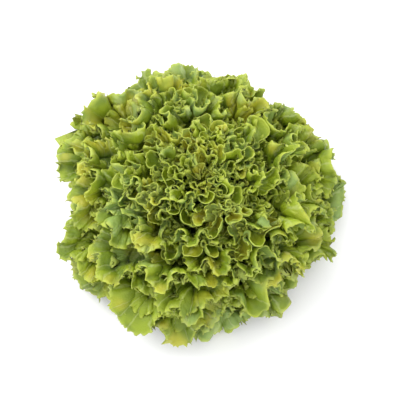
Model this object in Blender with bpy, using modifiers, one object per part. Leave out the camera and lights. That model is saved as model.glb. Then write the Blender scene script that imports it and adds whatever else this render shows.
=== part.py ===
"""Curly endive head: a cut core that carries a spiral of leaves, standing on its cut base.

Run it in Blender 4.5 with: blender --background --python part.py
Units are metres, +Z is up, and the origin is the middle of the cut face that the head stands on.

The leaves leave the core one by one, each turned by the golden angle from the last. Every leaf is a
patch of its own bowl-shaped shell round the stem. The shells are nested, from a nearly upright one
at the heart to a low, drooping one outside, so no leaf runs into another. The tiny unopened leaves
at the growing point are one bud.
"""

import math

import bmesh
import bpy
from mathutils import Vector

# Driving dimensions of the head.
HEAD_RADIUS = 0.152
HEAD_HEIGHT = 0.130
SKIRT_HEIGHT = 0.008
HEART_RADIUS = 0.008
CORE_RADIUS = 0.020
CORE_HEIGHT = 0.042
CORE_CHAMFER = 0.0015
CORE_SIDES = 20
BUD_RADIUS = 0.0042
BUD_TOP = 0.104
BUD_SIDES = 10
TOUCHING_GAP = 0.0003

# A head that lies on its leaves isn't round: (bulges round the stem, size, azimuth of the bulge).
BULGES = (
    (1, 0.060, math.radians(138)),
    (3, 0.024, math.radians(6)),
    (4, 0.018, math.radians(-37)),
    (6, 0.024, math.radians(20)),
)

# Its crown is lumpy too: (lumps round the stem, lumps from stem to rim, size, azimuth of the first).
LUMPS = (
    (2, 1.0, 0.035, math.radians(70)),
    (3, -1.5, 0.045, math.radians(20)),
    (5, 2.0, 0.040, math.radians(200)),
)

# The spiral of leaves, counted from the heart outwards.
LEAF_COUNT = 58
HEART_LEAVES = 12
MIDDLE_LEAVES = 24
GOLDEN_ANGLE = math.radians(137.508)
CROWDING = 0.40
MOST_ASTRAY = math.radians(7)

# Where the first and the last leaf leave the core: (radius, height).
TOP_FOOT = (0.0062, 0.039)
LOWEST_FOOT = (CORE_RADIUS, 0.010)
FOOT_GAP = 0.0018

# The angles above the horizon at which leaves start and end, at the heart and at the skirt.
START_ANGLES = (88, 16)
END_ANGLES = (104, -44)
UPRIGHTNESS = 1.25

# How far a leaf keeps to the way it starts and to the way it ends, as shares of its length.
START_PULL = 0.38
END_PULL = 0.36

# One leaf blade.
BLADE_THICKNESS = 0.0011
HEART_RIB_THICKNESS = 0.0012
OUTER_RIB_THICKNESS = 0.0030
RIB_HALF_WIDTH = 0.0075
HEART_HALF_WIDTH = 0.017
OUTER_HALF_WIDTH = 0.064
WIDEST_AT = 0.74
RIB_ENDS_AT = 0.12
TIP_ROUNDING = 0.13
MOST_WRAP = math.radians(80)
RIPPLE_HEIGHT = 0.0027
RIPPLES_ACROSS = 1.9
BLADE_COLUMNS = 8
BLADE_ROWS = 5

LEAF_GREEN = (0.23, 0.30, 0.05, 1.0)
HEART_GREEN = (0.36, 0.42, 0.10, 1.0)
CORE_CREAM = (0.72, 0.70, 0.46, 1.0)


def mix(a, b, share):
    """The value a share of the way from a to b."""
    return a + (b - a) * share


def smooth(share):
    """A share from 0 to 1, eased at both ends."""
    share = min(max(share, 0.0), 1.0)
    return share * share * (3.0 - 2.0 * share)


def slope(degrees):
    """The direction in (radius, height) that rises at this angle."""
    return Vector((math.cos(math.radians(degrees)), math.sin(math.radians(degrees))))


def rank_of(number):
    """How far out a leaf grows: 0 at the heart, 1 for the outermost leaf."""
    return number / (LEAF_COUNT - 1)


def crown_share(rank):
    """How far down the crown a leaf ends: 0 at the top, 1 at the skirt. Leaves crowd at both."""
    return mix(rank, smooth(rank), CROWDING)


def foot_of(rank):
    """(radius, height) where a leaf's middle leaves the core."""
    radius = mix(TOP_FOOT[0], LOWEST_FOOT[0], rank**0.6) + FOOT_GAP
    return Vector((radius, mix(TOP_FOOT[1], LOWEST_FOOT[1], rank)))


def rim_of(rank):
    """(radius, height) of the crown where a leaf ends."""
    turn = crown_share(rank) * math.pi / 2
    radius = mix(HEART_RADIUS, HEAD_RADIUS, math.sin(turn) ** 0.95)
    height = mix(SKIRT_HEIGHT, HEAD_HEIGHT, math.cos(turn) ** 0.85)
    return Vector((radius, height))


def shell_point(rank, along):
    """(radius, height) of a shell, from the foot at 0 to the crown at 1. Past 1 it runs straight on."""
    foot = foot_of(rank)
    rim = rim_of(rank)
    span = (rim - foot).length
    leaving_way = slope(mix(*START_ANGLES, rank**0.9))
    arriving_way = slope(mix(*END_ANGLES, crown_share(rank) ** UPRIGHTNESS))
    if along > 1.0:
        return rim + arriving_way * (along - 1.0) * span
    leaving = foot + leaving_way * span * START_PULL
    arriving = rim - arriving_way * span * END_PULL
    rest = 1.0 - along
    return (
        foot * rest**3
        + leaving * 3 * rest**2 * along
        + arriving * 3 * rest * along**2
        + rim * along**3
    )


def shell_normal(rank, along):
    """The shell's outward normal in (radius, height)."""
    step = 0.01
    way = shell_point(rank, along + step) - shell_point(rank, along - step)
    way.normalize()
    return Vector((way.y, -way.x))


def bulge(turn, radius):
    """How much further out the head reaches at this azimuth. The stem stays round."""
    share = sum(size * math.cos(count * (turn - peak)) for count, size, peak in BULGES)
    return 1.0 + share * smooth((radius - CORE_RADIUS) / (HEAD_RADIUS - CORE_RADIUS))


def lump(turn, radius):
    """How much higher the crown stands here than a smooth one. The stem and the heart have no lumps."""
    share = 0.0
    for count, waves, size, peak in LUMPS:
        share += size * math.cos(count * (turn - peak) + math.tau * waves * radius / HEAD_RADIUS)
    return 1.0 + share * smooth((radius - CORE_RADIUS) / (HEAD_RADIUS - CORE_RADIUS) * 2)


def reach_of(number):
    """How far along its shell a leaf grows. It varies from leaf to leaf."""
    return 0.965 + 0.035 * math.sin(0.7 * number**2)


def azimuth_of(number):
    """The azimuth of a leaf's rib: the spiral's, and a little astray."""
    return number * GOLDEN_ANGLE + MOST_ASTRAY * math.sin(1.9 * number**2)


def half_width_of(rank, along):
    """Half the blade's width, measured round the stem: narrow at the rib, widest near the rim."""
    widest = mix(HEART_HALF_WIDTH, OUTER_HALF_WIDTH, crown_share(rank) ** 0.8)
    rib = min(RIB_HALF_WIDTH, 0.62 * foot_of(rank).x)
    opening = smooth((along - RIB_ENDS_AT) / (WIDEST_AT - RIB_ENDS_AT))
    return mix(rib, widest, opening)


def ripple(number, across, along):
    """How far the rim waves in and out of the shell. The crowded heart leaves stay smooth."""
    height = RIPPLE_HEIGHT * smooth(rank_of(number) * 4.0) * along**2
    return height * math.sin(math.pi * RIPPLES_ACROSS * across + number * 1.7)


def blade_point(number, across, along):
    """A point of a leaf's middle surface, with across from -1 to 1 and along from foot, 0, to tip, 1."""
    rank = rank_of(number)
    along_shell = along * reach_of(number) - TIP_ROUNDING * across**2 * along**3
    profile = shell_point(rank, along_shell)
    wrap = min(half_width_of(rank, along_shell) / profile.x, MOST_WRAP)
    turn = azimuth_of(number) + wrap * across
    profile += shell_normal(rank, along_shell) * ripple(number, across, along)
    radius = profile.x * bulge(turn, profile.x)
    height = profile.y * lump(turn, profile.x)
    return Vector((radius * math.cos(turn), radius * math.sin(turn), height))


def rib_share(across, along):
    """The share of the rib's extra thickness here: all of it amid the foot, none at the edges or tip."""
    return max(0.0, 1.0 - abs(across)) * (1.0 - smooth(along))


def clear_scene():
    """Removes whatever the file opened with."""
    for thing in list(bpy.data.objects):
        bpy.data.objects.remove(thing, do_unlink=True)


def plant_material(name, colour, roughness):
    """A Principled material for fresh plant tissue."""
    material = bpy.data.materials.new(name)
    material.use_nodes = True
    shader = material.node_tree.nodes["Principled BSDF"]
    shader.inputs["Base Color"].default_value = colour
    shader.inputs["Roughness"].default_value = roughness
    shader.inputs["Metallic"].default_value = 0.0
    return material


def leaf_name(number):
    """A leaf's name: its zone of the head, and its place in that zone counted from the heart."""
    if number < HEART_LEAVES:
        return f"heart_leaf_{number + 1:02d}"
    if number < HEART_LEAVES + MIDDLE_LEAVES:
        return f"middle_leaf_{number - HEART_LEAVES + 1:02d}"
    return f"outer_leaf_{number - HEART_LEAVES - MIDDLE_LEAVES + 1:02d}"


def build_leaf(number, material, collection):
    """One leaf: a flat grid laid on its shell, then thickened, most of all along its rib."""
    sheet = bmesh.new()
    bmesh.ops.create_grid(sheet, x_segments=BLADE_COLUMNS, y_segments=BLADE_ROWS, size=1.0)
    places = [(vertex.co.x, (vertex.co.y + 1.0) / 2.0) for vertex in sheet.verts]
    for vertex, (across, along) in zip(sheet.verts, places):
        vertex.co = blade_point(number, across, along)
    mesh = bpy.data.meshes.new(leaf_name(number))
    sheet.to_mesh(mesh)
    sheet.free()
    mesh.shade_smooth()
    mesh.materials.append(material)
    leaf = bpy.data.objects.new(leaf_name(number), mesh)
    collection.objects.link(leaf)
    rib = leaf.vertex_groups.new(name="rib")
    for index, (across, along) in enumerate(places):
        rib.add([index], rib_share(across, along), "REPLACE")
    blade = leaf.modifiers.new("blade", "SOLIDIFY")
    blade.thickness = mix(HEART_RIB_THICKNESS, OUTER_RIB_THICKNESS, rank_of(number))
    blade.offset = 0.0
    blade.vertex_group = "rib"
    blade.thickness_vertex_group = BLADE_THICKNESS / blade.thickness
    return leaf


def build_turned(name, profile, steps, material, collection):
    """A solid turned about the stem's axis from a profile of (radius, height), top to bottom."""
    mesh = bpy.data.meshes.new(name)
    points = [(radius, 0.0, height) for radius, height in profile]
    mesh.from_pydata(points, [(i, i + 1) for i in range(len(points) - 1)], [])
    mesh.materials.append(material)
    turned_solid = bpy.data.objects.new(name, mesh)
    collection.objects.link(turned_solid)
    turning = turned_solid.modifiers.new("turning", "SCREW")
    turning.axis = "Z"
    turning.steps = steps
    turning.render_steps = steps
    turning.use_merge_vertices = True
    turning.merge_threshold = 0.00005
    turning.use_smooth_shade = True
    return turned_solid


def build_core(material, collection):
    """The cut core: a stump that narrows upwards past the leaves' feet, with a flat top for the bud."""
    steps = 8
    side = [foot_of(step / steps) - Vector((FOOT_GAP, 0.0)) for step in range(steps + 1)]
    top = [(0.0, CORE_HEIGHT), (BUD_RADIUS, CORE_HEIGHT)]
    base = [(CORE_RADIUS, CORE_CHAMFER), (CORE_RADIUS - CORE_CHAMFER, 0.0), (0.0, 0.0)]
    profile = top + [tuple(point) for point in side] + base
    return build_turned("core", profile, CORE_SIDES, material, collection)


def build_bud(material, collection):
    """The bud of unopened leaves: a slim spindle on the core's top."""
    steps = 6
    foot_height = CORE_HEIGHT + TOUCHING_GAP
    profile = [(0.0, BUD_TOP)]
    for step in range(1, steps):
        share = step / steps
        radius = BUD_RADIUS * math.sin(math.pi * (0.12 + 0.63 * share))
        profile.append((radius, mix(BUD_TOP, foot_height, share)))
    profile += [(BUD_RADIUS * 0.7, foot_height), (0.0, foot_height)]
    return build_turned("heart_bud", profile, BUD_SIDES, material, collection)


def main():
    clear_scene()
    head = bpy.data.collections.new("curly_endive_head")
    bpy.context.scene.collection.children.link(head)
    leaf_green = plant_material("endive leaf, green", LEAF_GREEN, 0.5)
    heart_green = plant_material("endive leaf, blanched heart", HEART_GREEN, 0.5)
    core_cream = plant_material("endive core, cut", CORE_CREAM, 0.55)
    build_core(core_cream, head)
    build_bud(heart_green, head)
    for number in range(LEAF_COUNT):
        material = heart_green if number < HEART_LEAVES else leaf_green
        build_leaf(number, material, head)


main()
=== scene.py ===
"""Curly endive head: frilled leaves and their finish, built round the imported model's frame."""

import math

import bpy
import numpy as np
from bpy.props import FloatProperty, FloatVectorProperty, IntProperty, PointerProperty
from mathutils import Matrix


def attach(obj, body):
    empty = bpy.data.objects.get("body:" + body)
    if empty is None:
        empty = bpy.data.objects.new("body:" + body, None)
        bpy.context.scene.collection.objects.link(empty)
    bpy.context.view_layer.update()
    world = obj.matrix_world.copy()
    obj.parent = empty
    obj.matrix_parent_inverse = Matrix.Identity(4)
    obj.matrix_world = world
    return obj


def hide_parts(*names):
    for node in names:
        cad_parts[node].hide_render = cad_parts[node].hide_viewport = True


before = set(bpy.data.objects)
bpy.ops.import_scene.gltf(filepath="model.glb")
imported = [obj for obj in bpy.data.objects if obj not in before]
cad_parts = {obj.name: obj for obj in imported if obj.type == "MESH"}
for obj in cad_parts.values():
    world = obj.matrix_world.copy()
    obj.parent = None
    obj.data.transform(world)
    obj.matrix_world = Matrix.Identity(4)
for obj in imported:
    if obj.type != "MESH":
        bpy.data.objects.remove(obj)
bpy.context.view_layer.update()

bl_info = {
    "name": "Curly endive head",
    "version": (1, 0, 0),
    "blender": (4, 5, 0),
    "location": "3D View > Sidebar > Endive",
    "description": "Builds a head of curly endive, leaf by leaf, from its core to its frilled skirt",
    "category": "Add Mesh",
}

MM = 0.001
GOLDEN_ANGLE = math.radians(137.508)
SEED = 1000

# The nested shells that the leaves lie on, as the frame's leaves do. Where the outline bulges: (waves round
# the head, share of the radius, azimuth of a peak).
BULGES = (
    (1, 0.060, math.radians(138)),
    (3, 0.024, math.radians(6)),
    (4, 0.018, math.radians(-37)),
    (6, 0.024, math.radians(20)),
)

# Where the crown is lumpy: (waves round the head, waves from stem to rim, share of the height, azimuth).
LUMPS = (
    (2, 1.0, 0.035, math.radians(70)),
    (3, -1.5, 0.045, math.radians(20)),
    (5, 2.0, 0.040, math.radians(200)),
)

# How the leaves are shared out between the first and the last, and how far each one is out of its place.
CROWDING = 0.40
SIDE_FULLNESS = 0.95
TOP_FULLNESS = 0.85
GROWTH = 0.8
MOST_ASTRAY = math.radians(7)
ASTRAY_BEAT = 1.9
MEAN_REACH = 0.965
REACH_SPREAD = 0.035
REACH_BEAT = 0.7

# Where the first and the last leaf leave the core, as (radius, height).
FOOT_GAP = 1.8 * MM
TOP_FOOT = (6.2 * MM, 39 * MM)
LOWEST_FOOT = (20 * MM, 10 * MM)
FOOT_SPREAD = 0.6

# A shell's profile: the angles in degrees at which the first and the last leaf leave the core and end, and
# how strongly each end pulls on the curve between them.
START_ANGLES = (88, 16)
END_ANGLES = (104, -44)
START_SPREAD = 0.9
UPRIGHTNESS = 1.25
START_PULL = 0.38
END_PULL = 0.36
PROFILE_STEPS = 60

# A blade's width, and how much of the way round the stem it takes at most.
RIB_HALF_WIDTH = 7.5 * MM
RIB_ROUND_FOOT = 0.62
RIB_ENDS_AT = 0.12
WIDEST_AT = 0.74
MOST_WRAP = math.radians(80)

# The bud at the growing point, as a whorl of leaflets. Its rims, in millimetres from the axis, run from the
# outermost leaflet's to the innermost's.
BUD_LEAFLETS = 7
BUD_FOOT = (2.2 * MM, 42.4 * MM)
BUD_RIMS = (6.5, 1.5)
BUD_TOP = 0.93
BUD_WIDTH = 0.6

# The outline of a blade: straight sides, then a broad round tip.
SIDES_END_AT = 0.42
TIP_SQUARENESS = 2.5
MIDRIB_ENDS_AT = 0.80

# The grid of a blade. Its columns are this many millimetres apart on the first and on the last leaf, and
# five times as far apart at the foot. Its rows crowd towards the margin.
SIDE_STEPS = 200
TIP_STEPS = 400
COLUMN_SPACING = (0.58, 0.72)
FEWEST_COLUMNS = 20
FOOT_DENSITY = 0.2
BLADE_ROWS = 16
BLADE_ROW_CROWDING = 1.7
SIDE_ROWS = 10
SIDE_ROW_CROWDING = 1.4

# How much folds differ from leaf to leaf, and how far they drift and lean, in radians.
FOLD_SPREAD = (0.85, 1.2)
SWING_SPREAD = (0.8, 1.15)
FOLD_DRIFT = 1.5
FOLD_LEAN = 0.9
LEAN_DEPTH = 25 * MM

# One fold: how narrow its ridge is, how far its sides loop back, and how far that leans it over.
RIDGE_SHARPNESS = 3.2
FOLD_LOOP = 0.085
FOLD_OVERHANG = 0.075

# The lobes, as shares of a fold, and how far in from the margin lobes and teeth still count.
LOBE_RISE = 0.05
LOBE_GAP = 0.32
LOBE_DEPTH = 14 * MM
TOOTH_REACH = 2.2 * MM

# What rides on the folds: ruffles and an upturned rim, as shares of the folds' swing, and blisters.
RUFFLES_PER_FOLD = 2.6
RUFFLE_HEIGHT = 0.26
RIM_UPTURN = 0.12
RIM_WIDTH = 6 * MM
BLISTER_HEIGHT = 0.7 * MM
BLISTER_WIDTH = 7.5 * MM
BLISTER_LENGTH = 8.5 * MM

# Where on its way from foot to tip, and from midrib to margin, a blade starts to frill.
FRILL_STARTS = 0.16
FRILL_BUILDS_OVER = 0.30
RIB_STAYS_FLAT = 0.30

# How far the heart's and the outer leaves droop, as shares of their swing, and the skirt beyond that.
DROOPS = (0.75, -0.25)
SKIRT_DROOP = 1.1
SKIRT_STARTS = 0.80

# How far the first and the last leaf lift or sink as a whole at most, how high their ribs stand, and half
# the width of a rib, all in millimetres.
LIFTS = (0.5, 6.0)
RIB_HEIGHTS = (0.3, 1.0)
RIB_RIDGE_MM = 3.0

# How leaves rest on the surface, and over what height they bend to it.
FLOOR_REST = 0.9 * MM
FLOOR_EASE = 3 * MM

# The least depth, from midrib to margin, that folds are worked out for.
LEAST_DEPTH = 4 * MM

# The share of an outer leaf's reach that its lobes take up beyond the blade's own margin.
RIM_ROOM = 0.055

# The side of the head where the outer leaves lie slackest, in wide flat cups, how soon towards the skirt
# they do, and how much wider and flatter their folds get.
SLACK_SIDE = math.radians(-125)
SLACK_ONSET = 1.4
SLACK_WIDENS = 0.25
SLACK_FLATTENS = 0.32

# Where the crowd of outer leaves is drawn in, or pushed out where the share is below 0: (azimuth and width
# in degrees, share of the radius).
PINCHES = (
    (178, 5, 0.14),
    (139, 7, -0.05),
    (125, 5, 0.13),
    (109, 7, -0.05),
    (95, 8, 0.09),
    (85, 35, 0.02),
    (62, 8, 0.04),
    (26, 5, 0.05),
    (3, 6, -0.03),
    (-16, 7, 0.07),
    (-52, 22, 0.07),
    (-85, 38, 0.05),
    (-88, 8, 0.03),
    (-131, 7, 0.09),
)

# It builds up from this share of the radius outwards, and over this share.
PINCH_STARTS = 0.45
PINCH_BUILDS_OVER = 0.45

# Frills that stand on a blade: (where they stand between midrib and margin, first and last rank that have
# them, side of the blade: 1 for the upper side, -1 for the underside). They start this far up the blade,
# and their folds and swings are these shares of the blade's own.
SIDE_FRILLS = ((0.15, 0.14, 1.0, 1), (0.48, 0.05, 1.0, 1), (0.42, 0.0, 0.34, -1))
SIDE_STARTS = 0.40
SIDE_FOLD = 0.85
SIDE_SWING = 0.68
SIDE_DROOP = 0.1

# How long those frills are on the first leaves and on most, in millimetres, and how they lean, in degrees
# from the blade, at their root and at their margin. Slack leaves take the second pair off the first.
SIDE_LENGTHS = (16, 27)
SIDE_LEANS = (62.0, 22.0)
SLACK_LEANS = (20.0, 16.0)

# The columns that a frill's direction is smoothed over, and a distance from the midrib that has no rib.
SMOOTHED_OVER = 41
OFF_RIB_MM = 30.0

# The point that the camera looks at, the floor's size, and the key light's place and size, in metres.
AIM = (-1 * MM, 1 * MM, 50 * MM)
FLOOR_SIZE = 6.0
KEY_PLACE = (-0.9, 0.7, 1.5)
KEY_SIZE = 1.1


def linear(colour):
    """The linear colour of an sRGB hex value, as red, green, blue and an opacity of 1."""
    channels = [int(colour[i : i + 2], 16) / 255 for i in (1, 3, 5)]
    return [c / 12.92 if c <= 0.04045 else ((c + 0.055) / 1.055) ** 2.4 for c in channels] + [1.0]


# ---------------------------------------------------------------- what a user would change


class EndiveHeadSettings(bpy.types.PropertyGroup):
    """The size of the head and how its leaves are shared out."""

    leaf_count: IntProperty(
        name="Leaves",
        description="Leaves from the heart to the skirt",
        default=58,
        min=1,
        max=58,
    )
    head_radius: FloatProperty(
        name="Radius",
        description="From the core's axis to the skirt's rim",
        default=152 * MM,
        unit="LENGTH",
    )
    head_height: FloatProperty(
        name="Height",
        description="From the cut face to the top of the heart",
        default=130 * MM,
        unit="LENGTH",
    )
    skirt_height: FloatProperty(
        name="Skirt height",
        description="Height of the lowest leaf's rim",
        default=8 * MM,
        unit="LENGTH",
    )
    heart_radius: FloatProperty(
        name="Heart radius",
        description="From the axis to the first leaf's rim",
        default=8 * MM,
        unit="LENGTH",
    )
    heart_half_width: FloatProperty(
        name="Heart leaf half width",
        description="Half a heart leaf's width",
        default=17 * MM,
        unit="LENGTH",
    )
    outer_half_width: FloatProperty(
        name="Outer leaf half width",
        description="Half an outer leaf's width",
        default=64 * MM,
        unit="LENGTH",
    )


class EndiveFrillSettings(bpy.types.PropertyGroup):
    """How the blades frill towards their margins."""

    thickness: FloatProperty(
        name="Blade thickness",
        description="Thickness near the margin",
        default=0.5 * MM,
        unit="LENGTH",
    )
    heart_fold: FloatProperty(
        name="Heart fold",
        description="Length of one fold on a heart leaf",
        default=15 * MM,
        unit="LENGTH",
    )
    outer_fold: FloatProperty(
        name="Outer fold",
        description="Length of one fold on an outer leaf",
        default=29 * MM,
        unit="LENGTH",
    )
    heart_swing: FloatProperty(
        name="Heart swing",
        description="How far a heart leaf's folds swing",
        default=5.8 * MM,
        unit="LENGTH",
    )
    outer_swing: FloatProperty(
        name="Outer swing",
        description="How far an outer leaf's folds swing",
        default=10 * MM,
        unit="LENGTH",
    )
    heart_depth: FloatProperty(
        name="Heart depth",
        description="How far in from its margin a heart leaf folds",
        default=24 * MM,
        unit="LENGTH",
    )
    outer_depth: FloatProperty(
        name="Outer depth",
        description="How far in from its margin an outer leaf folds",
        default=44 * MM,
        unit="LENGTH",
    )
    tooth_pitch: FloatProperty(
        name="Tooth pitch",
        description="Distance between teeth, laid flat",
        default=2.7 * MM,
        unit="LENGTH",
    )
    tooth_depth: FloatProperty(
        name="Tooth depth",
        description="How deep the teeth are cut",
        default=2.0 * MM,
        unit="LENGTH",
    )


class EndiveColourSettings(bpy.types.PropertyGroup):
    """The colours of leaf and core."""

    blade: FloatVectorProperty(
        name="Blade",
        description="Upper side of a green blade",
        subtype="COLOR",
        size=4,
        default=linear("#889a1c"),
    )
    blade_deep: FloatVectorProperty(
        name="Deep green",
        description="The greener patches",
        subtype="COLOR",
        size=4,
        default=linear("#687d16"),
    )
    blade_yellow: FloatVectorProperty(
        name="Yellow green",
        description="The yellower patches",
        subtype="COLOR",
        size=4,
        default=linear("#aca82e"),
    )
    # Partly the blade's own deeper green, partly painted shade deep between the folds.
    throat_green_and_shade: FloatVectorProperty(
        name="Throat",
        description="Deep between the folds",
        subtype="COLOR",
        size=4,
        default=linear("#5a7016"),
    )
    margin: FloatVectorProperty(
        name="Margin",
        description="The last few millimetres before the edge",
        subtype="COLOR",
        size=4,
        default=linear("#bcc650"),
    )
    underside: FloatVectorProperty(
        name="Underside",
        description="The matt, bluish underside",
        subtype="COLOR",
        size=4,
        default=linear("#86a05a"),
    )
    rib: FloatVectorProperty(
        name="Rib",
        description="Blanched ribs and leaf feet",
        subtype="COLOR",
        size=4,
        default=linear("#c9d096"),
    )
    core_skin: FloatVectorProperty(
        name="Core",
        description="The core's skin",
        subtype="COLOR",
        size=4,
        default=linear("#e3dfb8"),
    )
    core_cut: FloatVectorProperty(
        name="Cut face",
        description="The browned cut face",
        subtype="COLOR",
        size=4,
        default=linear("#c9b684"),
    )


class EndiveStageSettings(bpy.types.PropertyGroup):
    """Camera, floor and light."""

    elevation: FloatProperty(
        name="Elevation",
        description="Camera's angle above the horizon",
        default=math.radians(70),
        subtype="ANGLE",
    )
    distance: FloatProperty(
        name="Distance",
        description="From the camera to the head",
        default=1.3,
        unit="LENGTH",
    )
    view_width: FloatProperty(
        name="View width",
        description="Width that the picture takes in",
        default=0.4,
        unit="LENGTH",
    )
    sky: FloatProperty(
        name="Sky",
        description="Strength of the white surroundings",
        default=1.45,
    )
    key_power: FloatProperty(
        name="Key light",
        description="Power of the soft key light",
        default=18.0,
        unit="POWER",
    )


# ---------------------------------------------------------------- the shells that leaves lie on


def mix(a, b, share):
    """The value a share of the way from a to b."""
    return a + (b - a) * share


def smooth(share):
    """A share from 0 to 1, eased at both ends."""
    share = np.clip(share, 0.0, 1.0)
    return share * share * (3.0 - 2.0 * share)


def slope(degrees):
    """The direction in (radius, height) that rises at this angle."""
    return np.array([math.cos(math.radians(degrees)), math.sin(math.radians(degrees))])


class Shell:
    """The bowl-shaped surface round the stem that one leaf lies on. Leaves are numbered from 0 at the heart
    up, and the leaflets of the bud from -1 down."""

    def __init__(self, number, head):
        self.number = number
        self.head = head
        self.rank = max(number, 0) / (head.leaf_count - 1)
        self.crown = mix(self.rank, smooth(self.rank), CROWDING)
        self.growth = self.crown**GROWTH
        turn = self.crown * math.pi / 2
        self.foot = np.array(
            [
                mix(TOP_FOOT[0], LOWEST_FOOT[0], self.rank**FOOT_SPREAD) + FOOT_GAP,
                mix(TOP_FOOT[1], LOWEST_FOOT[1], self.rank),
            ]
        )
        self.rim = np.array(
            [
                mix(head.heart_radius, head.head_radius, math.sin(turn) ** SIDE_FULLNESS),
                mix(head.skirt_height, head.head_height, max(math.cos(turn), 0.0) ** TOP_FULLNESS),
            ]
        )
        if number < 0:
            self.foot = np.array(BUD_FOOT)
            radius = mix(*BUD_RIMS, -number / BUD_LEAFLETS) * MM
            self.rim = np.array([radius, head.head_height * BUD_TOP])
        self.span = np.linalg.norm(self.rim - self.foot)
        self.end_way = slope(mix(*END_ANGLES, self.crown**UPRIGHTNESS))
        leaving = slope(mix(*START_ANGLES, self.rank**START_SPREAD)) * self.span * START_PULL
        arriving = self.end_way * self.span * END_PULL
        self.corners = (self.foot, self.foot + leaving, self.rim - arriving, self.rim)
        self.reach = MEAN_REACH + REACH_SPREAD * math.sin(REACH_BEAT * number**2) - RIM_ROOM * self.crown
        self.azimuth = number * GOLDEN_ANGLE + MOST_ASTRAY * math.sin(ASTRAY_BEAT * number**2)
        self.slack = smooth(self.crown * SLACK_ONSET) * max(math.cos(self.azimuth - SLACK_SIDE), 0.0)

    def profile(self, along):
        """(radius, height) at each share of the way from foot to rim. Past 1 it runs straight on."""
        share = np.clip(along, 0.0, 1.0)[..., None]
        rest = 1.0 - share
        a, b, c, d = self.corners
        curve = a * rest**3 + b * 3 * rest**2 * share + c * 3 * rest * share**2 + d * share**3
        return curve + self.end_way * self.span * np.maximum(along - 1.0, 0.0)[..., None]

    def half_width(self, along):
        """Half the blade's width: narrow at the rib, widest near the rim."""
        widest = mix(self.head.heart_half_width, self.head.outer_half_width, self.growth)
        if self.number < 0:
            widest = BUD_WIDTH * self.head.heart_half_width
        rib = min(RIB_HALF_WIDTH, RIB_ROUND_FOOT * self.foot[0])
        return mix(rib, widest, smooth((along - RIB_ENDS_AT) / (WIDEST_AT - RIB_ENDS_AT)))

    def length(self):
        """The shell's length from the foot to the leaf's tip."""
        line = self.profile(np.linspace(0.0, self.reach, PROFILE_STEPS))
        return np.linalg.norm(np.diff(line, axis=0), axis=1).sum()

    def place(self, across, along):
        """Points in space, for across from -1 to 1 and along from foot, 0, to tip, 1."""
        on_shell = along * self.reach
        line = self.profile(on_shell)
        radius, height = line[..., 0], line[..., 1]
        wrap = np.minimum(self.half_width(on_shell) / radius, MOST_WRAP)
        turn = self.azimuth + wrap * across
        height = height * lump(turn, radius, self.head)
        radius = radius * bulge(turn, radius, self.head) * pinch(turn, radius, self.head)
        return np.stack([radius * np.cos(turn), radius * np.sin(turn), height], axis=-1)


def bulge(turn, radius, head):
    """How much further out the head reaches at this azimuth. The stem stays round."""
    share = sum(size * np.cos(count * (turn - peak)) for count, size, peak in BULGES)
    return 1.0 + share * smooth((radius - LOWEST_FOOT[0]) / (head.head_radius - LOWEST_FOOT[0]))


def lump(turn, radius, head):
    """How much higher the crown stands here than a smooth one. The lumps build up from the stem outwards,
    and are full half way to the rim."""
    share = 0.0
    for count, waves, size, peak in LUMPS:
        share = share + size * np.cos(count * (turn - peak) + math.tau * waves * radius / head.head_radius)
    return 1.0 + share * smooth((radius - LOWEST_FOOT[0]) / (head.head_radius - LOWEST_FOOT[0]) * 2)


def pinch(turn, radius, head):
    """The share of its radius that a point keeps where the rim is drawn in at this azimuth."""
    share = 0.0
    for middle, width, depth in PINCHES:
        away = (np.degrees(turn) - middle + 180) % 360 - 180
        share = share + depth * np.exp(-((away / width) ** 2))
    return 1.0 - share * smooth((radius / head.head_radius - PINCH_STARTS) / PINCH_BUILDS_OVER)


# ---------------------------------------------------------------- one leaf


def wander(place, length, rng, turns=4):
    """A smooth random line from about -1 to 1 that changes over this length."""
    total = np.zeros_like(place)
    for _ in range(turns):
        stretch = length * rng.uniform(0.7, 1.9)
        total = total + np.sin(math.tau * place / stretch + rng.uniform(0, math.tau))
    return total / turns**0.5 / 1.2


def unit(vectors):
    """The vectors at length 1."""
    return vectors / np.maximum(np.linalg.norm(vectors, axis=-1, keepdims=True), 1e-12)


def sheet_normals(points):
    """Unit normals of a grid of points. They point to the underside."""
    return unit(np.cross(np.gradient(points, axis=0), np.gradient(points, axis=1)))


def outline(shell, spacing):
    """The blade's margin, from the left of its foot round the tip to the right: across, along, the distance
    from the tip and the share of the way from foot to tip. Columns lie closest where the blade frills."""
    quarter = np.linspace(0.0, math.pi / 2, TIP_STEPS)
    curve = 2.0 / TIP_SQUARENESS
    along = np.concatenate(
        [
            np.linspace(0.0, SIDES_END_AT, SIDE_STEPS, endpoint=False),
            SIDES_END_AT + (1.0 - SIDES_END_AT) * np.sin(quarter) ** curve,
        ]
    )
    across = np.concatenate([np.ones(SIDE_STEPS), np.cos(quarter).clip(0.0) ** curve])
    flat_x = across * shell.half_width(along * shell.reach)
    flat_y = along * shell.length()
    steps = np.hypot(np.diff(flat_x), np.diff(flat_y))
    run = np.concatenate([[0.0], np.cumsum(steps)])
    density = FOOT_DENSITY + (1.0 - FOOT_DENSITY) * smooth((along - 0.14) / 0.2)
    weight = np.concatenate([[0.0], np.cumsum(steps * (density[1:] + density[:-1]) / 2)])
    count = max(int(weight[-1] / spacing), FEWEST_COLUMNS)
    at = np.linspace(0.0, weight[-1], count + 1)
    across, along, run = (np.interp(at, weight, line) for line in (across, along, run))
    from_tip = run - run[-1]
    return (
        np.concatenate([-across, across[-2::-1]]),
        np.concatenate([along, along[-2::-1]]),
        np.concatenate([from_tip, -from_tip[-2::-1]]),
        np.concatenate([run, run[-2::-1]]) / run[-1],
    )


def fold_phase(column, from_margin, fold, rng):
    """Where each point lies in the folds round the margin: a whole turn for each fold. They wander."""
    phase = math.tau * column / fold + FOLD_DRIFT * wander(column, fold * 2.6, rng)
    return phase + FOLD_LEAN * wander(column, fold * 1.6, rng) * from_margin / LEAN_DEPTH


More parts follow.
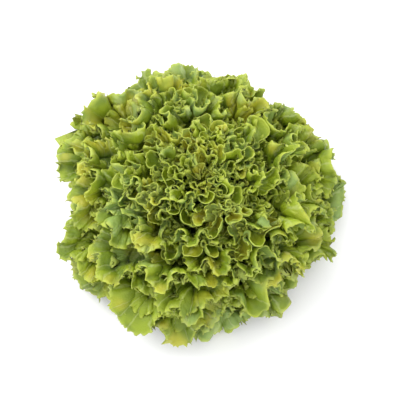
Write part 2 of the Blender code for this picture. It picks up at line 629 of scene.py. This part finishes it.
def margin_cut(column, from_margin, phase, fold, frills, rng):
    """How far the margin is moved outwards: back between the lobes, and in and out along the teeth."""
    between = (0.5 - 0.5 * np.cos(phase)) ** 2
    lobes = fold * (LOBE_RISE - LOBE_GAP * between) * (1.0 + 0.4 * wander(column, fold * 1.8, rng))
    size = 1.0 + 0.5 * wander(column, frills.tooth_pitch * 2.5, rng)
    beat = math.pi * column / frills.tooth_pitch + 1.2 * wander(column, frills.tooth_pitch * 4.0, rng)
    teeth = frills.tooth_depth * size * (np.abs(np.sin(beat)) ** 0.7 - 1.0)
    return lobes * np.exp(-from_margin / LOBE_DEPTH) + teeth * np.exp(-from_margin / TOOTH_REACH)


def frill(sheet, column, from_margin, phase, near, fold, swing, droop, rng):
    """Folds a sheet more and more towards its margin, as near goes from 0 to 1: into wide cups that open to
    the upper side, with narrow ridges between them. Smaller ruffles ride on them, and the rim turns up."""
    strength = 1.0 + 0.35 * wander(column, fold * 2.0, rng)
    tangent = unit(np.gradient(sheet, axis=0))
    cupped = 1.0 - 2.0 * np.abs(np.sin(phase / 2)) ** RIDGE_SHARPNESS
    swung = swing * near * (strength * cupped + droop)
    looped = fold * near * (FOLD_LOOP * np.sin(2 * phase) + FOLD_OVERHANG * np.sin(phase))
    sheet = sheet + sheet_normals(sheet) * swung[..., None] + tangent * looped[..., None]

    ruffle = fold / RUFFLES_PER_FOLD
    small = math.tau * column / ruffle + 1.8 * wander(column, ruffle * 3.0, rng)
    height = RUFFLE_HEIGHT * swing * (1.0 + 0.5 * wander(column, ruffle * 2.0, rng)) * near**1.5
    rim = -RIM_UPTURN * swing * np.exp(-from_margin / RIM_WIDTH) * near
    bumps = np.sin(math.tau * column / BLISTER_WIDTH + 2.0 * wander(column, 30 * MM, rng))
    bumps = bumps * np.sin(math.tau * from_margin / BLISTER_LENGTH + 2.0 * wander(column, 22 * MM, rng))
    rolled = height * np.cos(small) + rim + BLISTER_HEIGHT * bumps * near**0.5
    return sheet + sheet_normals(sheet) * rolled[..., None]


def press_on_floor(sheet):
    """Leaves that would sink into the surface are pressed flat on it."""
    lift = sheet[..., 2] - FLOOR_REST
    sheet[..., 2] = FLOOR_REST + (lift + np.sqrt(lift**2 + FLOOR_EASE**2)) / 2
    return sheet


def blade_sheet(shell, frills, rng):
    """The middle surface of a leaf as a grid of points from midrib to margin, and what its finish needs."""
    share = shell.growth
    fold = mix(frills.heart_fold, frills.outer_fold, share) * rng.uniform(*FOLD_SPREAD)
    swing = mix(frills.heart_swing, frills.outer_swing, share) * rng.uniform(*SWING_SPREAD)
    fold = fold * (1.0 + SLACK_WIDENS * shell.slack)
    swing = swing * (1.0 - SLACK_FLATTENS * shell.slack)
    across, along, place, run = outline(shell, mix(*COLUMN_SPACING, share) * MM)
    down = 1.0 - (1.0 - np.linspace(0.0, 1.0, BLADE_ROWS)) ** BLADE_ROW_CROWDING
    column, v = place[:, None], down[None, :]
    vein_start = (MIDRIB_ENDS_AT * run)[:, None]
    half_width = shell.half_width(along * shell.reach)
    out_length = np.hypot(across * half_width, (along - vein_start[:, 0]) * shell.length())[:, None]
    from_margin = (1.0 - v) * out_length

    frilled = smooth((along - FRILL_STARTS) / FRILL_BUILDS_OVER)[:, None]
    off_rib = smooth(v / RIB_STAYS_FLAT)
    phase = fold_phase(column, from_margin, fold, rng)
    cut = margin_cut(column, from_margin, phase, fold, frills, rng)
    stretched = v + off_rib * frilled * cut / np.maximum(out_length, LEAST_DEPTH)
    sheet = shell.place(across[:, None] * stretched, mix(vein_start, along[:, None], stretched))

    # Each leaf lifts or sinks a little as a whole.
    lift = rng.uniform(-1.0, 1.0) * mix(*LIFTS, share) * MM
    sheet = sheet - sheet_normals(sheet) * (lift * smooth(along) ** 2)[:, None, None]

    depth = np.minimum(mix(frills.heart_depth, frills.outer_depth, share), 0.9 * out_length)
    near = np.clip(1.0 - from_margin / np.maximum(depth, LEAST_DEPTH), 0.0, 1.0) ** 1.25
    near = near * frilled * off_rib
    droop = mix(*DROOPS, shell.crown**0.6) + SKIRT_DROOP * smooth((shell.rank - SKIRT_STARTS) / 0.15)
    sheet = press_on_floor(frill(sheet, column, from_margin, phase, near, fold, swing, droop, rng))
    finish = {
        "margin_mm": np.broadcast_to(from_margin / MM, sheet.shape[:2]),
        "along": np.broadcast_to(mix(vein_start, along[:, None], v), sheet.shape[:2]),
        "vein_mm": np.broadcast_to(column / MM, sheet.shape[:2]),
        "rib_mm": np.abs(across[:, None] * v) * half_width[:, None] / MM,
    }
    return sheet, finish


def side_sheet(sheet, finish, shell, frills, rooted_at, side, rng):
    """A frill that stands on a blade, round its midrib, where its side lobes turn up or down."""
    share = shell.growth
    fold = SIDE_FOLD * mix(frills.heart_fold, frills.outer_fold, share) * rng.uniform(*FOLD_SPREAD)
    swing = SIDE_SWING * mix(frills.heart_swing, frills.outer_swing, share)
    fold = fold * (1.0 + SLACK_WIDENS * shell.slack)
    swing = swing * (1.0 - SLACK_FLATTENS * shell.slack)
    root = int(rooted_at * sheet.shape[1])
    kept = np.flatnonzero(finish["along"][:, root] > SIDE_STARTS)
    foot = sheet[kept, root]
    out = unit(np.gradient(sheet, axis=1)[kept, root])
    up = -side * sheet_normals(sheet)[kept, root]
    window = np.hanning(SMOOTHED_OVER) / np.hanning(SMOOTHED_OVER).sum()
    out, up = (
        unit(np.stack([np.convolve(line[:, axis], window, "same") for axis in range(3)], axis=1))
        for line in (out, up)
    )
    column = finish["vein_mm"][kept, root][:, None] * MM
    ends = smooth((finish["along"][kept, root] - SIDE_STARTS) / 0.12)[:, None]
    v = (1.0 - (1.0 - np.linspace(0.0, 1.0, SIDE_ROWS)) ** SIDE_ROW_CROWDING)[None, :]
    longest = mix(*SIDE_LENGTHS, min(2.0 * share, 1.0)) * MM
    longest = longest * (0.85 + 0.25 * wander(column, fold * 2.2, rng)) * (0.25 + 0.75 * ends)
    from_margin = (1.0 - v) * longest
    phase = fold_phase(column, from_margin, fold, rng)
    cut = margin_cut(column, from_margin, phase, fold, frills, rng)
    length = v * longest + np.maximum(v * cut, -0.6 * v * longest)
    at_root, at_margin = (most - less * shell.slack for most, less in zip(SIDE_LEANS, SLACK_LEANS))
    lean = np.radians(mix(at_root, at_margin, v))
    strip = foot[:, None] + out[:, None] * (length * np.cos(lean))[..., None]
    strip = strip + up[:, None] * (length * np.sin(lean))[..., None]
    near = v**1.2 * ends
    strip = press_on_floor(frill(strip, column, from_margin, phase, near, fold, swing, SIDE_DROOP, rng))
    values = {
        "margin_mm": from_margin / MM,
        "along": np.broadcast_to(finish["along"][kept, root][:, None], strip.shape[:2]),
        "vein_mm": np.broadcast_to(column / MM, strip.shape[:2]),
        "rib_mm": np.full(strip.shape[:2], OFF_RIB_MM),
    }
    return strip, values


def sides_of(sheet, finish, shell, frills, folded):
    """The points of a sheet's underside and upper side. A rib runs up the blade, highest on its underside,
    and the blade is 1.4 times as thick far from its margin as it is there."""
    normals = sheet_normals(sheet)
    if folded:
        normals[:, 0] = unit(normals[:, 0] + normals[::-1, 0])
    rib = np.exp(-((finish["rib_mm"] / RIB_RIDGE_MM) ** 2))
    rib = rib * (1.0 - smooth(finish["along"] / MIDRIB_ENDS_AT))
    rib = rib * mix(*RIB_HEIGHTS, shell.rank) * MM
    half = frills.thickness / 2 * (1.4 - 0.4 * np.exp(-finish["margin_mm"] / 15))
    return sheet + normals * (half + rib)[..., None], sheet - normals * (half + 0.4 * rib)[..., None]


def solid_faces(columns, rows, folded):
    """The faces of a sheet's closed solid and where each of their corners lies on the baking map. A folded
    grid's first row is the midrib, which the left and the right half of the blade share."""
    index = np.arange(columns * rows).reshape(columns, rows)
    edge = np.concatenate([index[:, -1], index[-1, -2:0:-1], index[::-1, 0], index[0, 1:-1]])
    if folded:
        tip = columns // 2
        index[tip + 1 :, 0] = index[:tip, 0][::-1]
        edge = np.concatenate([index[:, -1], index[-1, -2:0:-1], index[0, :-1]])
    grid = np.stack([index[:-1, :-1], index[1:, :-1], index[1:, 1:], index[:-1, 1:]], axis=-1)
    grid = grid.reshape(-1, 4)
    following = np.roll(edge, -1)
    upper = columns * rows
    rim = np.stack([edge, following, following + upper, edge + upper], axis=-1)

    # On the baking map the underside fills the lower half, the upper side the half above it, and the rim a
    # strip along the top.
    u, v = np.meshgrid(np.linspace(0.005, 0.995, columns), np.linspace(0.0, 1.0, rows), indexing="ij")
    corner_u = np.stack([u[:-1, :-1], u[1:, :-1], u[1:, 1:], u[:-1, 1:]], axis=-1).reshape(-1, 4)
    corner_v = np.stack([v[:-1, :-1], v[1:, :-1], v[1:, 1:], v[:-1, 1:]], axis=-1).reshape(-1, 4)
    under_map = np.stack([corner_u, 0.005 + 0.475 * corner_v], axis=-1)
    upper_map = np.stack([corner_u, 0.490 + 0.475 * corner_v], axis=-1)[:, ::-1]
    step = np.arange(len(edge)) / len(edge) * 0.99 + 0.005
    next_step = step + 0.99 / len(edge)
    rim_u = np.stack([step, next_step, next_step, step], axis=-1)
    rim_v = np.broadcast_to(np.array([0.975, 0.975, 0.995, 0.995]), rim_u.shape)
    rim_map = np.stack([rim_u, rim_v], axis=-1)
    faces = np.concatenate([grid, grid[:, ::-1] + upper, rim])
    return faces, np.concatenate([under_map, upper_map, rim_map])


def solids_of(number, head, frills):
    """The closed solids of one leaf, blade first: (points, faces, baking map, finish values) of each."""
    shell = Shell(number, head)
    rng = np.random.default_rng(SEED + number)
    blade, blade_finish = blade_sheet(shell, frills, rng)
    sheets = [(blade, blade_finish, True)]
    for rooted_at, first_rank, last_rank, side in SIDE_FRILLS:
        if number >= 0 and first_rank <= shell.rank <= last_rank:
            sheets.append((*side_sheet(blade, blade_finish, shell, frills, rooted_at, side, rng), False))
    tone = rng.uniform(-1.0, 1.0)
    solids = []
    for sheet, finish, folded in sheets:
        under, upper = sides_of(sheet, finish, shell, frills, folded)
        faces, bake_map = solid_faces(*sheet.shape[:2], folded)
        count = sheet.shape[0] * sheet.shape[1]
        values = {name: np.tile(np.ravel(numbers), 2) for name, numbers in finish.items()}
        values["underside"] = np.repeat([1.0, 0.0], count)
        values["tone"] = np.full(2 * count, tone)
        points = np.concatenate([under.reshape(-1, 3), upper.reshape(-1, 3)])
        solids.append((points, faces, bake_map, values))
    return solids


def mesh_of(name, solids):
    """One mesh of closed solids, each in its own band of the baking map."""
    starts = np.cumsum([0] + [len(solid[0]) for solid in solids])
    points = np.concatenate([solid[0] for solid in solids])
    faces = np.concatenate([solid[1] + start for solid, start in zip(solids, starts)])
    bands = [solid[2] * (1.0, 1.0 / len(solids)) + (0.0, i / len(solids)) for i, solid in enumerate(solids)]
    kept, faces = np.unique(faces, return_inverse=True)
    mesh = bpy.data.meshes.new(name)
    mesh.from_pydata(points[kept], [], faces.reshape(-1, 4))
    mesh.shade_smooth()
    mesh.uv_layers.new(name="OFBake").data.foreach_set("uv", np.concatenate(bands).ravel())
    for value in solids[0][3]:
        numbers = np.concatenate([solid[3][value] for solid in solids])[kept]
        mesh.attributes.new(value, "FLOAT", "POINT").data.foreach_set("value", numbers)
    return mesh


def add_leaf(node, numbers, material):
    """A frilled piece of one or more leaves in the place of the frame's plain one."""
    scene = bpy.context.scene
    solids = []
    for number in numbers:
        solids += solids_of(number, scene.endive_head, scene.endive_frills)
    mesh = mesh_of(node + "_frilled", solids)
    mesh.materials.append(material)
    leaf = bpy.data.objects.new(node + "_frilled", mesh)
    bpy.context.collection.objects.link(leaf)
    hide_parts(node)
    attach(leaf, "root")
    return leaf


def leaves_of(zone):
    """The frame's leaves of one zone, each with its number in the whole spiral."""
    zones = ("heart_leaf", "middle_leaf", "outer_leaf")
    spiral = [name for z in zones for name in sorted(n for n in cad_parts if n.startswith(z))]
    return [(name, number) for number, name in enumerate(spiral) if name.startswith(zone)]


# ---------------------------------------------------------------- finishes
#
# Numbered inputs are, for Map Range, 0 the value, 1 and 2 the range it comes from, and 3 and 4 the one it
# goes to; for Mix, 0 the share, 6 the colour at 0 and 7 the one at 1; for Math, its operands in order.


def add(tree, kind, inputs=None, **settings):
    """Adds a node, sets it up, and fills its inputs with values or with links from other nodes' outputs."""
    node = tree.nodes.new(kind)
    for name, value in settings.items():
        setattr(node, name, value)
    for name, value in (inputs or {}).items():
        if isinstance(value, bpy.types.NodeSocket):
            tree.links.new(value, node.inputs[name])
        else:
            node.inputs[name].default_value = value
    return node


def new_material(name):
    """A material with a Principled shader: the material, its node tree and the shader."""
    material = bpy.data.materials.new(name)
    material.use_nodes = True
    return material, material.node_tree, material.node_tree.nodes["Principled BSDF"]


def blade_material(name, colours, yellowest):
    """Fresh endive blade, grown and washed: a thin waxy skin over soft tissue that light shines through. It
    is satin on top and matt below, yellow-green in patches, and paler towards its margin, on its ribs and
    at its foot. In from the margin it deepens to olive, partly its own deeper green and partly painted
    shade deep in the folds. Yellowest is the most that a yellow patch covers the green."""
    material, tree, shader = new_material(name)
    place = add(tree, "ShaderNodeTexCoord").outputs["Object"]
    names = ("margin_mm", "along", "rib_mm", "vein_mm", "underside", "tone")
    margin, along, rib, vein, underside, tone = (
        add(tree, "ShaderNodeAttribute", attribute_name=attribute).outputs["Fac"] for attribute in names
    )
    eased = {"interpolation_type": "SMOOTHSTEP"}

    # Green patches about as wide as a fold. They differ from leaf to leaf.
    noise = add(tree, "ShaderNodeTexNoise", {"Vector": place, "Scale": 1 / (26 * MM), "Detail": 2.0})
    inputs = {0: tone, 1: 0.09, 2: noise.outputs["Fac"]}
    patch = add(tree, "ShaderNodeMath", inputs, operation="MULTIPLY_ADD")
    share = add(tree, "ShaderNodeMapRange", {0: patch.outputs[0], 1: 0.36, 2: 0.62}, **eased)
    inputs = {0: share.outputs[0], 6: colours.blade_deep, 7: colours.blade}
    colour = add(tree, "ShaderNodeMix", inputs, data_type="RGBA")

    # Yellow patches, on fewer lobes.
    noise = add(tree, "ShaderNodeTexNoise", {"Vector": place, "Scale": 1 / (33 * MM), "Detail": 1.0})
    inputs = {0: tone, 1: -0.10, 2: noise.outputs["Fac"]}
    patch = add(tree, "ShaderNodeMath", inputs, operation="MULTIPLY_ADD")
    share = add(tree, "ShaderNodeMapRange", {0: patch.outputs[0], 1: 0.50, 2: 0.72, 4: yellowest}, **eased)
    inputs = {0: share.outputs[0], 6: colour.outputs[2], 7: colours.blade_yellow}
    colour = add(tree, "ShaderNodeMix", inputs, data_type="RGBA")

    # The underside is paler and bluer, and so is a lobe here and there where the wax lies thick.
    noise = add(tree, "ShaderNodeTexNoise", {"Vector": place, "Scale": 1 / (41 * MM), "Detail": 1.0})
    waxed = add(tree, "ShaderNodeMapRange", {0: noise.outputs["Fac"], 1: 0.56, 2: 0.68, 4: 0.65}, **eased)
    share = add(tree, "ShaderNodeMath", {0: underside, 1: 0.55}, operation="MULTIPLY")
    share = add(tree, "ShaderNodeMath", {0: share.outputs[0], 1: waxed.outputs[0]}, operation="MAXIMUM")
    inputs = {0: share.outputs[0], 6: colour.outputs[2], 7: colours.underside}
    colour = add(tree, "ShaderNodeMix", inputs, data_type="RGBA")

    # The blade deepens to olive from 6 to 26 mm in from its margin: partly its own deeper green, partly
    # painted shade deep between the folds.
    share = add(tree, "ShaderNodeMapRange", {0: margin, 1: 6.0, 2: 26.0, 4: 0.55}, **eased)
    inputs = {0: share.outputs[0], 6: colour.outputs[2], 7: colours.throat_green_and_shade}
    colour = add(tree, "ShaderNodeMix", inputs, data_type="RGBA")

    # Side veins run from the midrib to the margin about every 9 mm.
    noise = add(tree, "ShaderNodeTexNoise", {"Vector": place, "Scale": 1 / (9 * MM), "Detail": 2.0})
    line = add(tree, "ShaderNodeMath", {0: noise.outputs["Fac"], 1: 5.0, 2: vein}, operation="MULTIPLY_ADD")
    line = add(tree, "ShaderNodeMath", {0: line.outputs[0], 1: 4.5}, operation="PINGPONG")
    line = add(tree, "ShaderNodeMapRange", {0: line.outputs[0], 1: 0.15, 2: 0.8, 3: 1.0, 4: 0.0}, **eased)
    share = add(tree, "ShaderNodeMath", {0: line.outputs[0], 1: 0.22}, operation="MULTIPLY")
    inputs = {0: share.outputs[0], 6: colour.outputs[2], 7: colours.rib}
    colour = add(tree, "ShaderNodeMix", inputs, data_type="RGBA")

    # The rib is blanched low down, and so is the whole foot.
    share = add(tree, "ShaderNodeMapRange", {0: rib, 1: 0.8, 2: 2.6, 3: 1.0, 4: 0.0}, **eased)
    fading = add(tree, "ShaderNodeMapRange", {0: along, 1: 0.30, 2: 0.80, 3: 1.0, 4: 0.1}, **eased)
    share = add(tree, "ShaderNodeMath", {0: share.outputs[0], 1: fading.outputs[0]}, operation="MULTIPLY")
    foot = add(tree, "ShaderNodeMapRange", {0: along, 1: 0.08, 2: 0.36, 3: 1.0, 4: 0.0}, **eased)
    share = add(tree, "ShaderNodeMath", {0: share.outputs[0], 1: foot.outputs[0]}, operation="MAXIMUM")
    inputs = {0: share.outputs[0], 6: colour.outputs[2], 7: colours.rib}
    colour = add(tree, "ShaderNodeMix", inputs, data_type="RGBA")

    # It pales over the last 4.5 mm before its margin.
    share = add(tree, "ShaderNodeMapRange", {0: margin, 1: 0.0, 2: 4.5, 3: 0.52, 4: 0.0}, **eased)
    inputs = {0: share.outputs[0], 6: colour.outputs[2], 7: colours.margin}
    colour = add(tree, "ShaderNodeMix", inputs, data_type="RGBA")
    tree.links.new(colour.outputs[2], shader.inputs["Base Color"])

    # Satin wax above, matt below, with breaks in the shine about 5 mm wide.
    noise = add(tree, "ShaderNodeTexNoise", {"Vector": place, "Scale": 1 / (5 * MM), "Detail": 2.0})
    gloss = add(tree, "ShaderNodeMapRange", {0: noise.outputs["Fac"], 1: 0.3, 2: 0.7, 3: 0.40, 4: 0.55})
    inputs = {0: underside, 1: 0.15, 2: gloss.outputs[0]}
    gloss = add(tree, "ShaderNodeMath", inputs, operation="MULTIPLY_ADD")
    tree.links.new(gloss.outputs[0], shader.inputs["Roughness"])

    # Blisters about 4 mm wide between the veins, and the veins' own creases.
    noise = add(tree, "ShaderNodeTexNoise", {"Vector": place, "Scale": 1 / (4.2 * MM), "Detail": 2.0})
    inputs = {"Height": noise.outputs["Fac"], "Strength": 0.4, "Distance": 0.7 * MM}
    blisters = add(tree, "ShaderNodeBump", inputs)
    inputs = {"Height": line.outputs[0], "Strength": 0.6, "Distance": -0.5 * MM}
    creases = add(tree, "ShaderNodeBump", {**inputs, "Normal": blisters.outputs["Normal"]})

    # A net of small veins lies sunk in the skin. Its meshes are 3.5 mm wide, coarser than the real ones of
    # about 1 mm, so that they show.
    inputs = {"Vector": place, "Scale": 1 / (3.5 * MM)}
    net = add(tree, "ShaderNodeTexVoronoi", inputs, feature="DISTANCE_TO_EDGE")
    sunk = add(tree, "ShaderNodeMapRange", {0: net.outputs["Distance"], 1: 0.0, 2: 0.14}, **eased)
    inputs = {"Height": sunk.outputs[0], "Strength": 0.5, "Distance": 0.3 * MM}
    veined = add(tree, "ShaderNodeBump", {**inputs, "Normal": creases.outputs["Normal"]})
    tree.links.new(veined.outputs["Normal"], shader.inputs["Normal"])

    # Water-filled tissue, with light that spreads about a millimetre and comes out yellow-green.
    shader.inputs["IOR"].default_value = 1.43
    shader.inputs["Subsurface Weight"].default_value = 0.35
    shader.inputs["Subsurface Radius"].default_value = (0.9, 1.0, 0.25)
    shader.inputs["Subsurface Scale"].default_value = 1.2 * MM
    return material


def core_material(colours):
    """Endive core, cut with a knife and left to dry: matt, cream and faintly fibrous, its face browned."""
    material, tree, shader = new_material("endive core, knife-cut")
    place = add(tree, "ShaderNodeTexCoord").outputs["Object"]
    height = add(tree, "ShaderNodeSeparateXYZ", {"Vector": place}).outputs["Z"]
    fibre = add(tree, "ShaderNodeTexNoise", {"Vector": place, "Scale": 1 / (1.5 * MM), "Detail": 3.0})
    browned = add(tree, "ShaderNodeMapRange", {0: height, 1: 0.0, 2: 2.5 * MM, 3: 1.0, 4: 0.0})
    inputs = {0: browned.outputs[0], 1: fibre.outputs["Fac"]}
    share = add(tree, "ShaderNodeMath", inputs, operation="MULTIPLY")
    inputs = {0: share.outputs[0], 6: colours.core_skin, 7: colours.core_cut}
    colour = add(tree, "ShaderNodeMix", inputs, data_type="RGBA")
    tree.links.new(colour.outputs[2], shader.inputs["Base Color"])
    inputs = {"Height": fibre.outputs["Fac"], "Strength": 0.4, "Distance": 0.4 * MM}
    fibres = add(tree, "ShaderNodeBump", inputs)
    tree.links.new(fibres.outputs["Normal"], shader.inputs["Normal"])
    shader.inputs["Roughness"].default_value = 0.6
    return material


def floor_material():
    """Matt white paper, as a studio table is covered with: faint fibres break up what little it shines.
    They are 0.8 mm wide, coarser than real ones."""
    material, tree, shader = new_material("white paper, uncoated")
    place = add(tree, "ShaderNodeTexCoord").outputs["Object"]
    fibre = add(tree, "ShaderNodeTexNoise", {"Vector": place, "Scale": 1 / (0.8 * MM), "Detail": 2.0})
    gloss = add(tree, "ShaderNodeMapRange", {0: fibre.outputs["Fac"], 3: 0.85, 4: 0.95})
    tree.links.new(gloss.outputs[0], shader.inputs["Roughness"])
    shader.inputs["Base Color"].default_value = linear("#f8f8fa")
    return material


# ---------------------------------------------------------------- operators


class ENDIVE_OT_core(bpy.types.Operator):
    """Gives the cut core its finish"""

    bl_idname = "endive.core"
    bl_label = "Core"

    def execute(self, context):
        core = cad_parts["core"]
        core.data.materials.clear()
        core.data.materials.append(core_material(context.scene.endive_colours))
        return {"FINISHED"}


class ENDIVE_OT_heart(bpy.types.Operator):
    """Grows the heart: the bud and the small upright leaves round it"""

    bl_idname = "endive.heart"
    bl_label = "Heart leaves"

    def execute(self, context):
        material = blade_material("endive blade, young and blanched", context.scene.endive_colours, 1.0)
        add_leaf("heart_bud", [-1 - i for i in range(BUD_LEAFLETS)], material)
        for node, number in leaves_of("heart_leaf"):
            add_leaf(node, [number], material)
        return {"FINISHED"}


class ENDIVE_OT_crown(bpy.types.Operator):
    """Grows the middle and the outer leaves"""

    bl_idname = "endive.crown"
    bl_label = "Middle and outer leaves"

    def execute(self, context):
        material = blade_material("endive blade, green and fresh", context.scene.endive_colours, 0.8)
        for node, number in leaves_of("middle_leaf") + leaves_of("outer_leaf"):
            add_leaf(node, [number], material)
        return {"FINISHED"}


class ENDIVE_OT_stage(bpy.types.Operator):
    """Sets up the white floor, the soft light and the camera"""

    bl_idname = "endive.stage"
    bl_label = "Stage"

    def execute(self, context):
        stage = context.scene.endive_stage
        context.scene.view_settings.view_transform = "Standard"
        bpy.ops.mesh.primitive_plane_add(size=FLOOR_SIZE)
        floor = context.object
        floor.name = "paper_floor"
        floor.data.materials.append(floor_material())

        world = bpy.data.worlds.new("white studio")
        world.use_nodes = True
        world.node_tree.nodes["Background"].inputs["Color"].default_value = (1.0, 1.0, 1.0, 1.0)
        world.node_tree.nodes["Background"].inputs["Strength"].default_value = stage.sky
        context.scene.world = world

        lamp = bpy.data.lights.new("key_softbox", "AREA")
        lamp.energy = stage.key_power
        lamp.size = KEY_SIZE
        key = bpy.data.objects.new("key_softbox", lamp)
        key.location = KEY_PLACE
        key.rotation_euler = key.location.to_track_quat("Z", "Y").to_euler()
        context.collection.objects.link(key)

        lens = bpy.data.cameras.new("camera")
        lens.lens = lens.sensor_width * stage.distance / stage.view_width
        camera = bpy.data.objects.new("camera", lens)
        back = (0.0, -math.cos(stage.elevation), math.sin(stage.elevation))
        camera.location = [c * stage.distance + a for c, a in zip(back, AIM)]
        camera.rotation_euler = (math.pi / 2 - stage.elevation, 0.0, 0.0)
        context.collection.objects.link(camera)
        context.scene.camera = camera
        return {"FINISHED"}


class ENDIVE_PT_head(bpy.types.Panel):
    """Lists the pieces of the head and what can be changed on them"""

    bl_label = "Curly endive head"
    bl_idname = "ENDIVE_PT_head"
    bl_space_type = "VIEW_3D"
    bl_region_type = "UI"
    bl_category = "Endive"

    def draw(self, context):
        for operator in OPERATORS:
            self.layout.operator(operator.bl_idname)
        for name in SETTINGS:
            group = getattr(context.scene, name)
            box = self.layout.box()
            for value in group.bl_rna.properties:
                if value.identifier not in ("rna_type", "name"):
                    box.prop(group, value.identifier)


SETTINGS = {
    "endive_head": EndiveHeadSettings,
    "endive_frills": EndiveFrillSettings,
    "endive_colours": EndiveColourSettings,
    "endive_stage": EndiveStageSettings,
}
OPERATORS = (ENDIVE_OT_core, ENDIVE_OT_heart, ENDIVE_OT_crown, ENDIVE_OT_stage)


def register():
    """Registers the settings, the operators and the panel."""
    for group in SETTINGS.values():
        bpy.utils.register_class(group)
    for name, group in SETTINGS.items():
        setattr(bpy.types.Scene, name, PointerProperty(type=group))
    for operator in OPERATORS:
        bpy.utils.register_class(operator)
    bpy.utils.register_class(ENDIVE_PT_head)


def unregister():
    """Takes away what register added, in reverse."""
    bpy.utils.unregister_class(ENDIVE_PT_head)
    for operator in reversed(OPERATORS):
        bpy.utils.unregister_class(operator)
    for name, group in SETTINGS.items():
        delattr(bpy.types.Scene, name)
        bpy.utils.unregister_class(group)


def main():
    """Builds the head and its stage."""
    register()
    bpy.ops.endive.core()
    bpy.ops.endive.heart()
    bpy.ops.endive.crown()
    bpy.ops.endive.stage()


if __name__ == "__main__":
    main()
